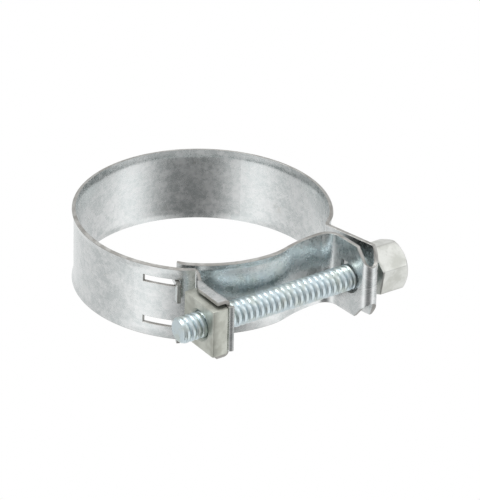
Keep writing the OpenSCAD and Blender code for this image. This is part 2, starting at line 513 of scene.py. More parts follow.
class MiddleLine:
    """The strip's middle line in plan, made of stretches joined end to end."""

    def __init__(self, start: Stop, moves: Sequence[Move]) -> None:
        """Works out where each stretch starts.

        Args:
            start: the first place.
            moves: the stretches in order.
        """
        self.moves = list(moves)
        self.starts: dict[str, float] = {}
        self.stops: list[Stop] = [start]
        self.length = 0.0
        for move in self.moves:
            self.starts[move.name] = self.length
            self.length += move.run
            self.stops.append(move.after(self.stops[-1], move.run))

    def at(self, run: float) -> Stop:
        """Returns the place at a length along the strip.

        Args:
            run: length along the strip, in millimetres.

        Returns:
            The place there.
        """
        for move, stop in zip(self.moves, self.stops):
            start = self.starts[move.name]
            if run <= start + move.run or move is self.moves[-1]:
                return move.after(stop, run - start)
        raise ValueError("the strip has no stretches")

    def end_of(self, name: str) -> Stop:
        """Returns the place where a stretch ends."""
        names = [move.name for move in self.moves]
        return self.stops[names.index(name) + 1]

    def runs(self, start: float, end: float, extra: Sequence[float] = ()) -> list[float]:
        """Returns the lengths at which cross-sections stand between two places.

        Args:
            start: the first length.
            end: the last length.
            extra: lengths that must be among them.

        Returns:
            Rising lengths, closer together in tight bends.
        """
        wanted = {start, end, *(e for e in extra if start < e < end)}
        for move in self.moves:
            low, high = max(start, self.starts[move.name]), min(end, self.starts[move.name] + move.run)
            if high <= low:
                continue
            bend_step = move.radius * math.radians(BEND_STEP)
            step = STRAIGHT_STEP if move.turn == 0 else min(STRAIGHT_STEP, bend_step)
            count = max(1, math.ceil((high - low) / step))
            wanted.update(low + (high - low) * k / count for k in range(count + 1))
        ordered = sorted(wanted)
        kept = [ordered[0]]
        fixed = {start, end, *extra}
        for run in ordered[1:]:
            if run - kept[-1] < CLOSEST:
                if run in fixed:
                    kept[-1] = run
                continue
            kept.append(run)
        return kept


# ---------------------------------------------------------------- meshes


def to_object(name: str, mesh: bpy.types.Mesh, materials: Sequence[bpy.types.Material],
              crease: float = 32.0) -> bpy.types.Object:
    """Puts a mesh in the scene with its materials and smooth shading.

    Args:
        name: the piece's name.
        mesh: its mesh, in metres.
        materials: its material slots in order.
        crease: the angle in degrees above which an edge stays sharp.

    Returns:
        The new object.
    """
    piece = bpy.data.objects.new(name, mesh)
    bpy.context.scene.collection.objects.link(piece)
    for material in materials:
        mesh.materials.append(material)
    mesh.polygons.foreach_set("use_smooth", [True] * len(mesh.polygons))
    mesh.set_sharp_from_angle(angle=math.radians(crease))
    return piece


def write_places(mesh: bpy.types.Mesh, places: Sequence[tuple[float, float, float]]) -> None:
    """Stores each point's place on the metal, which the finishes read.

    Args:
        mesh: the mesh.
        places: one place for each vertex, in millimetres.
    """
    attribute = mesh.attributes.new(PLACE, "FLOAT_VECTOR", "POINT")
    attribute.data.foreach_set("vector", [number for place in places for number in place])


Surface = Callable[[float, float], tuple[Vector, Vector]]
Cell = tuple[int, int]


@dataclass
class Sheet:
    """A sheet of metal pressed into shape, given by its middle surface on a grid.

    The grid's first direction runs along the strip and its second across it. Cells that are
    left out are holes. Free edges get a small chamfer and the edge material, and joined edges
    are closed flat because another piece carries on from there.
    """

    along: Sequence[float]
    across: Sequence[float]
    surface: Surface
    thickness: float
    keep: Callable[[float, float], bool] = lambda run, height: True
    joined: Callable[[float, float], bool] = lambda run, height: False
    chamfer: float = 0.07
    rim_side: float = 0.6
    _bm: bmesh.types.BMesh | None = field(init=False, default=None)
    _tag: bmesh.types.BMLayerItem | None = field(init=False, default=None)

    def build(self, name: str, materials: Sequence[bpy.types.Material]) -> bpy.types.Object:
        """Builds the sheet's solid mesh.

        Args:
            name: the piece's name.
            materials: the face material and the edge material.

        Returns:
            The finished piece.
        """
        self._bm = bmesh.new()
        self._tag = self._bm.verts.layers.float_vector.new(PLACE)
        cells = {
            (i, j)
            for i in range(len(self.along) - 1) for j in range(len(self.across) - 1)
            if self.keep((self.along[i] + self.along[i + 1]) / 2, (self.across[j] + self.across[j + 1]) / 2)
        }
        rims, caps = self._borders(cells)
        corners = self._corners(cells, rims)
        for i, j in cells:
            quad = [corners[k] for k in ((i, j), (i + 1, j), (i + 1, j + 1), (i, j + 1))]
            self._face([c[0] for c in quad], 0)
            self._face([c[1] for c in reversed(quad)], 0)
        for a, b in rims:
            (a0, a1, a2, a3), (b0, b1, b2, b3) = corners[a], corners[b]
            for ring in ((a0, b0, b2, a2), (a2, b2, b3, a3), (a3, b3, b1, a1)):
                self._face(ring, 1)
        for a, b in caps:
            first, second = corners[a], corners[b]
            self._face([first[0], second[0], *second[2:], second[1], first[1], *reversed(first[2:])], 1)
        bmesh.ops.recalc_face_normals(self._bm, faces=self._bm.faces)
        mesh = bpy.data.meshes.new(name)
        self._bm.to_mesh(mesh)
        self._bm.free()
        return to_object(name, mesh, materials)

    def _face(self, ring: Sequence[bmesh.types.BMVert], material: int) -> None:
        """Adds one face."""
        self._bm.faces.new(ring).material_index = material

    def _borders(self, cells: set[Cell]) -> tuple[dict, list]:
        """Finds the sheet's border edges.

        Args:
            cells: the kept cells.

        Returns:
            Free edges with the grid direction that they face, and joined edges.
        """
        rims: dict[tuple[Cell, Cell], Cell] = {}
        caps: list[tuple[Cell, Cell]] = []
        for i, j in cells:
            sides = {
                (0, -1): ((i, j), (i + 1, j)), (1, 0): ((i + 1, j), (i + 1, j + 1)),
                (0, 1): ((i + 1, j + 1), (i, j + 1)), (-1, 0): ((i, j + 1), (i, j)),
            }
            for (di, dj), (a, b) in sides.items():
                if (i + di, j + dj) in cells:
                    continue
                run = (self.along[a[0]] + self.along[b[0]]) / 2
                height = (self.across[a[1]] + self.across[b[1]]) / 2
                if self.joined(run, height):
                    caps.append((a, b))
                else:
                    rims[(a, b)] = (di, dj)
        return rims, caps

    def _corners(self, cells: set[Cell], rims: dict) -> dict[Cell, list[bmesh.types.BMVert]]:
        """Makes the vertices at each grid point.

        Args:
            cells: the kept cells.
            rims: free edges with the direction that they face.

        Returns:
            For each grid point its outer and inner vertex, and on a free edge the two rim vertices.
        """
        facing: dict[Cell, set[Cell]] = {}
        for (a, b), way in rims.items():
            facing.setdefault(a, set()).add(way)
            facing.setdefault(b, set()).add(way)
        points = {(i + di, j + dj) for i, j in cells for di in (0, 1) for dj in (0, 1)}
        made = {}
        for i, j in points:
            run, height = self.along[i], self.across[j]
            centre, normal = self.surface(run, height)
            pull = Vector()
            for di, dj in facing.get((i, j), ()):
                pull += self._direction(i, j, di, dj)
            half = normal * self.thickness / 2
            rim = normal * (self.thickness / 2 - self.chamfer)
            inward = pull * self.chamfer
            spots = [(centre + half - inward, 1.0), (centre - half - inward, -1.0)]
            if (i, j) in facing:
                spots += [(centre + rim, self.rim_side), (centre - rim, -self.rim_side)]
            made[(i, j)] = [self._vertex(spot, (run, height, side)) for spot, side in spots]
        return made

    def _direction(self, i: int, j: int, di: int, dj: int) -> Vector:
        """Returns the unit direction on the surface of a step along the grid.

        Args:
            i: the point's number along the grid.
            j: the point's number across the grid.
            di: the step along, or 0.
            dj: the step across, or 0.

        Returns:
            The unit direction.
        """
        i0, i1 = (max(i - 1, 0), min(i + 1, len(self.along) - 1)) if di else (i, i)
        j0, j1 = (max(j - 1, 0), min(j + 1, len(self.across) - 1)) if dj else (j, j)
        ahead = self.surface(self.along[i1], self.across[j1])[0]
        behind = self.surface(self.along[i0], self.across[j0])[0]
        return (ahead - behind).normalized() * (di + dj)

    def _vertex(self, spot: Vector, place: tuple[float, float, float]) -> bmesh.types.BMVert:
        """Adds one vertex, given in millimetres, with its place on the strip.

        Args:
            spot: the vertex, in millimetres.
            place: its place: along the strip, across it and its side.

        Returns:
            The new vertex.
        """
        vertex = self._bm.verts.new(spot * MM)
        vertex[self._tag] = Vector(place)
        return vertex


def cut_through(piece: bpy.types.Object, outline: Sequence[tuple[float, float]], low: float,
                high: float) -> None:
    """Cuts a hole along X through a piece.

    Args:
        piece: the piece, in metres.
        outline: the hole's (y, z) outline in millimetres.
        low: where the cut starts along X, in millimetres.
        high: where it ends.
    """
    tool = bmesh.new()
    tool.verts.layers.float_vector.new(PLACE)
    ends = [[tool.verts.new(Vector((x, y, z)) * MM) for y, z in outline] for x in (low, high)]
    for k in range(len(outline)):
        m = (k + 1) % len(outline)
        tool.faces.new((ends[0][k], ends[0][m], ends[1][m], ends[1][k])).material_index = 1
    tool.faces.new(ends[0])
    tool.faces.new(ends[1])
    bmesh.ops.recalc_face_normals(tool, faces=tool.faces)
    mesh = bpy.data.meshes.new("hole_tool")
    tool.to_mesh(mesh)
    tool.free()
    cutter = bpy.data.objects.new("hole_tool", mesh)
    bpy.context.scene.collection.objects.link(cutter)
    modifier = piece.modifiers.new("hole", "BOOLEAN")
    modifier.object, modifier.operation, modifier.solver = cutter, "DIFFERENCE", "EXACT"
    graph = bpy.context.evaluated_depsgraph_get()
    holed = bpy.data.meshes.new_from_object(piece.evaluated_get(graph))
    piece.modifiers.clear()
    piece.data = holed
    bpy.data.objects.remove(cutter)


def turned_solid(name: str, loops: Sequence[Sequence[Vector]], materials: Sequence[bpy.types.Material],
                 closed: bool, crease: float) -> bpy.types.Object:
    """Builds a solid from loops of equal length that follow each other.

    Args:
        name: the piece's name.
        loops: the loops, in millimetres.
        materials: the piece's materials.
        closed: whether the last loop joins the first, as round a hole; otherwise both ends are capped.
        crease: the angle in degrees above which an edge stays sharp.

    Returns:
        The finished piece.
    """
    count = len(loops[0])
    vertices = [point * MM for loop in loops for point in loop]
    faces: list[tuple[int, ...]] = []
    for k in range(len(loops) if closed else len(loops) - 1):
        after = (k + 1) % len(loops)
        for m in range(count):
            n = (m + 1) % count
            faces.append((k * count + m, k * count + n, after * count + n, after * count + m))
    if not closed:
        faces.append(tuple(reversed(range(count))))
        faces.append(tuple((len(loops) - 1) * count + m for m in range(count)))
    mesh = bpy.data.meshes.new(name)
    mesh.from_pydata(vertices, [], faces)
    write_places(mesh, [tuple(vertex / MM) for vertex in vertices])
    tidy = bmesh.new()
    tidy.from_mesh(mesh)
    bmesh.ops.recalc_face_normals(tidy, faces=tidy.faces)
    tidy.to_mesh(mesh)
    tidy.free()
    return to_object(name, mesh, materials, crease)


# ---------------------------------------------------------------- the strip


@dataclass
class Strip:
    """The folded steel strip: tongue with hooks, hairpin screw ear, ring and nut ear."""

    thickness: float = 0.75
    width: float = 15.0
    rim_drop: float = 0.12
    roll_out: float = 0.38
    roll_width: float = 1.2
    roll_softness: float = 0.32
    ring_roll_fades: tuple[float, float] = (3.5, 3.0)
    tongue_roll_fades: tuple[float, float] = (1.5, 4.0)
    ring_radius: float = 23.45
    ring_end: float = 232.8
    tongue_radius: float = 21.2
    tongue_start: float = -75.0
    hook_at: float = -138.2
    hook_lean: float = 28.0
    hook_tip_radius: float = 25.7
    hook_low_radius: float = 24.4
    hook_clear_radius: float = 24.85
    hook_clear_z: float = 6.2
    hook_bend: float = 0.4
    hook_ease: float = 1.7
    flat_bend: tuple[float, float] = (28.0, -15.0)
    root_bend: tuple[float, float] = (2.8, -86.0)
    fold_bend: tuple[float, float] = (1.35, 189.2)
    foot_bend_radius: float = 0.9
    nut_bend_radius: float = 0.8
    lip_bend: tuple[float, float] = (0.6, 80.0)
    lip_end: float = 0.25
    root_reach: float = 1.0
    hook_upper: tuple[float, float] = (1.0, 4.9)
    neck_half: float = 0.6
    slot_z: float = 4.3
    slot_half: float = 0.7
    slot_near: float = 227.0
    slot_far: float = 209.5
    inner_full_y: float = 27.7
    outer_full_y: float = 28.8
    fold_y: float = 31.0
    fold_z: float = 3.2
    inner_leg: float = 6.8
    hole_y: float = 25.6
    hole_radius: float = 3.1
    hole_length: float = 2.2
    outer_hole_radius: float = 2.75
    between_legs_x: float = 17.2
    nut_hole_radius: float = 3.0
    neck_start_y: float = 19.0
    narrowing: float = 5.0
    neck_y: float = 20.5
    ear_z: float = 5.9
    ear_y: float = 29.4
    flange_round: float = 1.1
    flange_reach: float = 2.0
    flange_full_y: float = 23.0
    flange_start: float = 0.12
    flange_gap: float = 0.1
    lip_z: float = 4.6
    zones: int = 5
    edge_steps: tuple[float, ...] = (0.0, 0.2, 0.4, 0.65, 0.9, 1.05, 1.15, 1.25, 1.35, 1.5, 1.8, 2.2)
    line: MiddleLine = field(init=False)
    ring_start: float = field(init=False)

    def __post_init__(self) -> None:
        """Lays out the middle line from the hooks to the nut ear's lip."""
        tongue_mid = self.tongue_radius + self.thickness / 2
        self.ring_mid = self.ring_radius + self.thickness / 2
        self.half_width = self.width / 2 - self.rim_drop
        finger = math.radians(self.hook_at + self.hook_lean)
        lean = math.radians(self.hook_lean)
        reach = [
            math.sqrt(r ** 2 - (tongue_mid * math.sin(lean)) ** 2) - tongue_mid * math.cos(lean)
            for r in (self.hook_tip_radius, self.hook_low_radius, self.hook_clear_radius)
        ]
        corner_x = tongue_mid * math.cos(math.radians(self.hook_at))
        corner_y = tongue_mid * math.sin(math.radians(self.hook_at))
        tip = Stop(
            corner_x + reach[0] * math.cos(finger), corner_y + reach[0] * math.sin(finger),
            self.hook_at + self.hook_lean + 180.0,
        )
        hook_turn = 90.0 + self.hook_lean - self.hook_ease
        tangent = self.hook_bend * math.tan(math.radians(hook_turn / 2))
        arc_from = self.hook_at + math.degrees(tangent / tongue_mid)
        first = [
            Move("finger", length=reach[0] - tangent),
            Move("finger_bend", radius=self.hook_bend, turn=-hook_turn),
            Move("tongue", radius=tongue_mid, turn=self.tongue_start - arc_from),
            Move("flat_bend", radius=self.flat_bend[0], turn=self.flat_bend[1]),
            Move("root_bend", radius=self.root_bend[0], turn=self.root_bend[1]),
            Move("inner_leg", length=self.inner_leg),
            Move("fold", radius=self.fold_bend[0], turn=self.fold_bend[1]),
        ]
        self.finger_full = reach[0] - reach[1]
        self.finger_clear = reach[0] - reach[2]
        folded = MiddleLine(tip, first).stops[-1]
        outer_leg, self.ring_start, foot_turn = self._close_ring(folded, self.foot_bend_radius)
        bend_turn = 180.0 - self.ring_end
        last = [
            Move("outer_leg", length=outer_leg),
            Move("foot", radius=self.foot_bend_radius, turn=foot_turn),
            Move("ring", radius=self.ring_mid, turn=self.ring_end - self.ring_start),
            Move("nut_bend", radius=self.nut_bend_radius, turn=bend_turn),
        ]
        bent = MiddleLine(tip, first + last).stops[-1]
        self.plate_x = bent.x
        self.line = MiddleLine(tip, [
            *first, *last,
            Move("plate", length=self.ear_y + bent.y),
            Move("lip", radius=self.lip_bend[0], turn=self.lip_bend[1]),
            Move("lip_end", length=self.lip_end),
        ])

    def _close_ring(self, leg: Stop, foot: float) -> tuple[float, float, float]:
        """Finds how long the outer leg is for its last bend to meet the ring.

        Args:
            leg: where the outer leg starts.
            foot: radius of the bend between the leg and the ring.

        Returns:
            The leg's length, the angle where the ring starts and the bend's turn.
        """
        heading = math.radians(leg.heading)
        ahead = Vector((math.cos(heading), math.sin(heading)))
        centre = Vector((leg.x, leg.y)) + foot * Vector((ahead.y, -ahead.x))
        along = centre.dot(ahead)
        length = -along - math.sqrt(along ** 2 - centre.length_squared + (self.ring_mid + foot) ** 2)
        met = centre + length * ahead
        start = math.degrees(math.atan2(met.y, met.x))
        return length, start, start + 90.0 - leg.heading

    def ring_run(self, angle: float) -> float:
        """Returns the length along the strip at an angle round the ring."""
        return self.line.starts["ring"] + math.radians(angle - self.ring_start) * self.ring_mid

    def zone_middle(self, zone: int) -> float:
        """Returns the length along the strip at the middle of one flex zone."""
        share = (self.ring_end - self.ring_start) / self.zones
        return self.ring_run(self.ring_start + (zone + 0.5) * share)

    def middle_point(self, run: float) -> tuple[float, float, float]:
        """Returns the point on the middle line at a length along the strip, in metres."""
        stop = self.line.at(run)
        return stop.x * MM, stop.y * MM, 0.0

    def _run_at(self, name: str, depth: float) -> float:
        """Returns the length along the strip where a straight stretch lies at y = -depth.

        Args:
            name: name of the straight stretch.
            depth: distance below the ring's centre.

        Returns:
            The length along the strip.
        """
        names = [move.name for move in self.line.moves]
        stop = self.line.stops[names.index(name)]
        return self.line.starts[name] + (-depth - stop.y) / math.sin(math.radians(stop.heading))

    def _round_hole(self, radius: float) -> list[tuple[float, float]]:
        """Returns the (y, z) outline of a round hole about the screw's axis."""
        angles = [math.tau * k / ROUND_POINTS for k in range(ROUND_POINTS)]
        return [(radius * math.cos(a) - self.hole_y, radius * math.sin(a)) for a in angles]

    def _fade(self, run: float, low: float, high: float) -> float:
        """Returns 0 at low and 1 at high, with a smooth change between them."""
        share = min(max((run - low) / (high - low), 0.0), 1.0)
        return share * share * (3 - 2 * share)

    def _roll(self, run: float) -> float:
        """Returns how far the long edges are rolled out there, from 0 to 1.

        Args:
            run: length along the strip, in millimetres.

        Returns:
            The share of the full roll.
        """
        starts = self.line.starts
        ring_from, ring_to = starts["ring"], starts["nut_bend"]
        tongue_from, tongue_to = starts["tongue"], starts["flat_bend"]
        if run > ring_from:
            ending = 1 - self._fade(run, ring_to - self.ring_roll_fades[1], ring_to)
            return self._fade(run, ring_from, ring_from + self.ring_roll_fades[0]) * ending
        ending = 1 - self._fade(run, tongue_to - self.tongue_roll_fades[1], tongue_to)
        return self._fade(run, tongue_from, tongue_from + self.tongue_roll_fades[0]) * ending

    def _half(self, run: float, y: float) -> float:
        """Returns the strip's half width at a length along it, where the middle line is at y.

        Args:
            run: length along the strip, in millimetres.
            y: where the middle line is there.

        Returns:
            The half width in millimetres.
        """
        half = self.half_width
        if run < self.line.starts["ring"]:
            starts = self.line.starts
            over = self._fade(run, starts["fold"], starts["outer_leg"])
            full_y = self.inner_full_y + over * (self.outer_full_y - self.inner_full_y)
            cut = max(-y - full_y, 0.0) * (half - self.fold_z) / (self.fold_y - full_y)
            return max(half - cut, self.fold_z)
        if run < self.ring_run(self.ring_end - self.narrowing):
            return half
        if run >= self.line.starts["lip"]:
            return self.lip_z
        plate = self.ear_z - self.flange_round
        neck = self.ear_z - self.thickness
        share = min(max((-y - self.neck_start_y) / (self.neck_y - self.neck_start_y), 0.0), 1.0)
        return half + (neck - half) * share if -y < self.neck_y else plate

    def _surface(self, run: float, column: float) -> tuple[Vector, Vector]:
        """Returns the middle surface and its outward normal.

        Args:
            run: length along the strip.
            column: height across it where it has its full width.

        Returns:
            The point in millimetres and the unit normal.
        """
        stop = self.line.at(run)
        half, full, margin = self._half(run, stop.y), self.half_width, self.edge_steps[-1]
        side = math.copysign(1.0, column)
        from_edge = full - abs(column)
        if from_edge <= margin:
            height = half - from_edge
        else:
            height = abs(column) * (half - margin) / (full - margin)
        past = height - (half - self.roll_width)
        soft = math.hypot(past, self.roll_softness)
        slope = self._roll(run) * self.roll_out / self.roll_width
        heading = math.radians(stop.heading)
        outward = Vector((math.sin(heading), -math.cos(heading), 0.0))
        point = Vector((stop.x, stop.y, side * height)) + outward * slope * (soft + past) / 2
        tilt = slope * (1 + past / soft) / 2
        normal = (outward - Vector((0.0, 0.0, side * tilt))).normalized()
        return point, normal

    def _columns(self, extra: Sequence[float] = ()) -> list[float]:
        """Returns the heights of the grid's columns, with any extra ones.

        Args:
            extra: heights that must be among them.

        Returns:
            The heights in rising order.
        """
        full = self.half_width
        inner = full - self.edge_steps[-1]
        heights = {full - step for step in self.edge_steps} | {inner * k / 5 for k in range(1, 5)}
        both = {0.0, *heights, *(-h for h in heights)}
        kept = [h for h in both if all(abs(h - e) > 0.12 for e in extra)]
        return sorted([*kept, *extra])

    def piece(self, name: str, start: float, end: float, materials: Sequence[bpy.types.Material],
              joined: Callable[[float, float], bool], keep: Callable[[float, float], bool] | None = None,
              runs: Sequence[float] = (), columns: Sequence[float] = ()) -> bpy.types.Object:
        """Builds one stretch of the strip.

        Args:
            name: the piece's name.
            start: length along the strip where it starts.
            end: length along the strip where it ends.
            materials: face and edge material.
            joined: tells which border edges carry on in another piece.
            keep: tells which cells are metal.
            runs: lengths that the grid must hold.
            columns: heights that the grid must hold.

        Returns:
            The finished piece.
        """
        sheet = Sheet(
            self.line.runs(start, end, runs), self._columns(columns), self._surface, self.thickness,
            keep or (lambda run, height: True), joined,
        )
        return sheet.build(name, materials)

    def tongue(self, materials: Sequence[bpy.types.Material]) -> bpy.types.Object:
        """Builds the tongue from its two hooks to the foot of the screw ear's inner leg.

        Args:
            materials: the materials, in slot order.

        Returns:
            The finished piece.
        """
        starts = self.line.starts
        neck_from, neck_to = self.finger_full, starts["tongue"]
        upper = (self.slot_z - self.neck_half, self.slot_z + self.neck_half)
        low_edge = -self.half_width

        def keep(run: float, height: float) -> bool:
            """Tells the tongue, the necks and the two turned fingers from open space.

            Args:
                run: length along the strip, in millimetres.
                height: height across the strip.

            Returns:
                Whether the place is metal.
            """
            if run > neck_to:
                return True
            if run > neck_from:
                return upper[0] < abs(height) < upper[1]
            lowest = low_edge if run < self.finger_clear else -self.hook_clear_z
            return self.hook_upper[0] < height < upper[1] or lowest < height < -upper[0]

        end = starts["inner_leg"] + self.root_reach
        return self.piece(
            "tongue_and_hooks", 0.0, end, materials, lambda run, height: run > end - TINY, keep,
            [self.finger_clear, neck_from, neck_to],
            [self.hook_upper[0], *upper, -upper[0], -upper[1], -self.hook_clear_z],
        )

    def screw_ear(self, materials: Sequence[bpy.types.Material]) -> bpy.types.Object:
        """Builds the hairpin ear with its long hole, up to the middle of the first flex zone.

        Args:
            materials: the materials, in slot order.

        Returns:
            The finished piece.
        """
        start, end = self.line.starts["inner_leg"] + self.root_reach, self.zone_middle(0)
        ear = self.piece(
            "screw_ear_fold", start, end, materials,
            lambda run, height: run < start + TINY or run > end - TINY,
            runs=[self._run_at("inner_leg", self.inner_full_y), self._run_at("outer_leg", self.outer_full_y)],
        )
        outline = []
        for k in range(ROUND_POINTS):
            angle = math.tau * k / ROUND_POINTS
            shift = self.hole_length / 2 * (1 if math.cos(angle) > 0 else -1)
            outline.append((
                -self.hole_y + self.hole_length / 2 + shift + self.hole_radius * math.cos(angle),
                self.hole_radius * math.sin(angle),
            ))
        cut_through(ear, outline, 0.0, self.between_legs_x)
        outer_hole = self._round_hole(self.outer_hole_radius)
        cut_through(ear, outer_hole, self.between_legs_x, 2 * self.between_legs_x)
        return ear

    def ring(self, name: str, zone: int, materials: Sequence[bpy.types.Material]) -> bpy.types.Object:
        """Builds the ring from the middle of one flex zone to the middle of the next.

        Args:
            name: the piece's name.
            zone: the number of the flex zone where it starts.
            materials: the materials, in slot order.

        Returns:
            The finished piece.
        """
        start, end = self.zone_middle(zone), self.zone_middle(zone + 1)
        return self.piece(
            name, start, end, materials, lambda run, height: run < start + TINY or run > end - TINY,
        )

    def nut_ear(self, materials: Sequence[bpy.types.Material]) -> bpy.types.Object:
        """Builds the slotted end of the ring with the plate and the lip of the nut ear.

        Args:
            materials: the materials, in slot order.

        Returns:
            The finished piece.
        """
        start = self.zone_middle(self.zones - 1)
        far, near = self.ring_run(self.slot_far), self.ring_run(self.slot_near)
        low, high = self.slot_z - self.slot_half, self.slot_z + self.slot_half
        plate, lip = self.line.starts["plate"], self.line.starts["lip"]
        neck = plate + self.neck_y + self.line.end_of("nut_bend").y
        top = self.half_width - TINY

        def keep(run: float, height: float) -> bool:
            """Tells metal from the two slots."""
            return not (far < run < near and low < abs(height) < high)

        def joined(run: float, height: float) -> bool:
            """Tells the cut end of the ring and the plate's edges under the flanges."""
            return run < start + TINY or (neck + self.flange_gap < run < lip and abs(height) > top)

        ear = self.piece(
            "nut_ear_plate", start, self.line.length, materials, joined, keep,
            [far, near, neck, neck + 0.15, plate, lip, lip + 0.02], [low, high, -low, -high],
        )
        cut_through(ear, self._round_hole(self.nut_hole_radius), self.plate_x - 1.0, self.plate_x + 1.0)
        return ear

    def flange(self, name: str, side: float, materials: Sequence[bpy.types.Material]) -> bpy.types.Object:
        """Builds one flange of the nut ear, bent over the nut.

        Args:
            name: the piece's name.
            side: 1 for the upper flange and -1 for the lower one.
            materials: face and edge material.

        Returns:
            The finished piece.
        """
        radius = self.flange_round - self.thickness / 2
        bend = radius * math.pi / 2
        bend_x = self.plate_x + self.thickness / 2 - self.flange_round
        straight = bend_x - (self.plate_x - self.thickness / 2 - self.flange_reach)
        root_z = self.ear_z - self.flange_round

        def surface(depth: float, share: float) -> tuple[Vector, Vector]:
            """Returns the flange's middle surface and normal, share of the way to its free edge.

            Args:
                depth: distance below the ring's centre, along -Y.
                share: share of the way to the free edge.

            Returns:
                The point in millimetres and the unit normal.
            """
            grown = min(max((depth - self.neck_y) / (self.flange_full_y - self.neck_y), 0.0), 1.0)
            length = bend + straight * (self.flange_start + (1 - self.flange_start) * grown)
            run = share * length
            angle = min(run / radius, math.pi / 2)
            x = bend_x + radius * math.cos(angle) - max(run - bend, 0.0)
            z = root_z + radius * math.sin(angle)
            return Vector((x, -depth, side * z)), Vector((math.cos(angle), 0.0, side * math.sin(angle)))

        first = self.neck_y + self.flange_gap
        depths = [first + (self.ear_y - first) * k / 24 for k in range(25)]
        shares = [k / 16 for k in range(17)]
        sheet = Sheet(depths, shares, surface, self.thickness, joined=lambda depth, share: share < TINY)
        return sheet.build(name, materials)


# ---------------------------------------------------------------- screw and nut


@dataclass
class HexScrew:
    """The hexagon-head screw: a rolled right-hand thread from its tip to its head."""

    tip_x: float
    end_x: float
    axis_y: float
    diameter: float = 5.0
    depth: float = 0.36
    pitch: float = 1.25
    tip_radius: float = 2.05
    tip_length: float = 0.5
    head_length: float = 6.2
    across_flats: float = 9.0
    corner_radius: float = 5.13
    head_turn: float = 40.0
    cone_length: float = 1.1
    phase: float = 0.35
    crest_power: int = 4
    tip_rings: tuple[tuple[float, float], ...] = ((0.9, 0.0), (0.5, 0.03), (0.2, 0.05))
    end_rings: tuple[tuple[float, float], ...] = ((0.93, 0.0), (0.6, -0.03), (0.2, -0.04))
    cone_drop: float = 1.05
    cone_power: float = 1.6
    head_edge: float = 0.25
    head_edge_slope: float = 0.6

    def _point(self, x: float, radius: float, angle: float) -> Vector:
        """Returns the point at a radius and angle round the screw's axis."""
        return Vector((x, self.axis_y + radius * math.cos(angle), radius * math.sin(angle)))

    def _thread_radius(self, x: float, angle: float) -> float:
        """Returns the radius of the rolled thread there.

        Args:
            x: place along the screw's axis.
            angle: angle round the axis, in radians.

        Returns:
            The radius in millimetres.
        """
        turn = (x / self.pitch - angle / math.tau + self.phase) % 1.0
        ridge = 1 - abs(2 * turn - 1)
        rise = 1 - (1 - ridge) ** self.crest_power
        radius = self.diameter / 2 - self.depth * (1 - rise)
        start = min(max((x - self.tip_x) / self.tip_length, 0.0), 1.0)
        return min(radius, self.tip_radius + (self.diameter / 2 - self.tip_radius) * start)

    def shank(self, materials: Sequence[bpy.types.Material]) -> bpy.types.Object:
        """Builds the threaded shank.

        Args:
            materials: the materials, in slot order.

        Returns:
            The finished piece.
        """
        under_head = self.end_x - self.head_length
        count = math.ceil((under_head - self.tip_x) / (self.pitch / 16))
        places = [self.tip_x + (under_head + 0.3 - self.tip_x) * k / count for k in range(count + 1)]
        angles = [math.tau * m / ROUND_POINTS for m in range(ROUND_POINTS)]
        loops = [[self._point(x, self._thread_radius(x, a), a) for a in angles] for x in places]
        for shrink, back in self.tip_rings:
            radius = self.tip_radius * shrink
            loops.insert(0, [self._point(self.tip_x + back, radius, a) for a in angles])
        return turned_solid("screw_thread", loops, materials, False, 50.0)

    def _head_radius(self, x: float, angle: float) -> float:
        """Returns the radius of the chamfered hexagon there.

        Args:
            x: place along the screw's axis.
            angle: angle round the axis, in radians.

        Returns:
            The radius in millimetres.
        """
        flat = (math.degrees(angle) - self.head_turn) % 60 - 30
        radius = min(self.across_flats / 2 / math.cos(math.radians(flat)), self.corner_radius)
        back = max(x - (self.end_x - self.cone_length), 0.0) / self.cone_length
        cone = self.across_flats / math.sqrt(3) - self.cone_drop * back ** self.cone_power
        front = max(self.head_edge - (x - (self.end_x - self.head_length)), 0.0)
        return min(radius - front * self.head_edge_slope, cone)

    def head(self, materials: Sequence[bpy.types.Material]) -> bpy.types.Object:
        """Builds the plain hexagon head.

        Args:
            materials: the materials, in slot order.

        Returns:
            The finished piece.
        """
        under = self.end_x - self.head_length
        places = [under, under + 0.1, under + self.head_edge, under + 0.6]
        places += [under + 1.0 + (self.head_length - self.cone_length - 1.0) * k / 6 for k in range(7)]
        places += [self.end_x - self.cone_length * (1 - k / 14) for k in range(1, 15)]
        angles = [math.tau * m / 180 + math.radians(self.head_turn) for m in range(180)]
        loops = [[self._point(x, self._head_radius(x, a), a) for a in angles] for x in places]
        rim = self._head_radius(self.end_x, math.radians(self.head_turn))
        for share, bulge in self.end_rings:
            loops.append([self._point(self.end_x + bulge, rim * share, a) for a in angles])
        for share in (0.8, 0.45):
            loops.insert(0, [self._point(under, self.across_flats / 2 * share, a) for a in angles])
        return turned_solid("screw_head", loops, materials, False, 30.0)


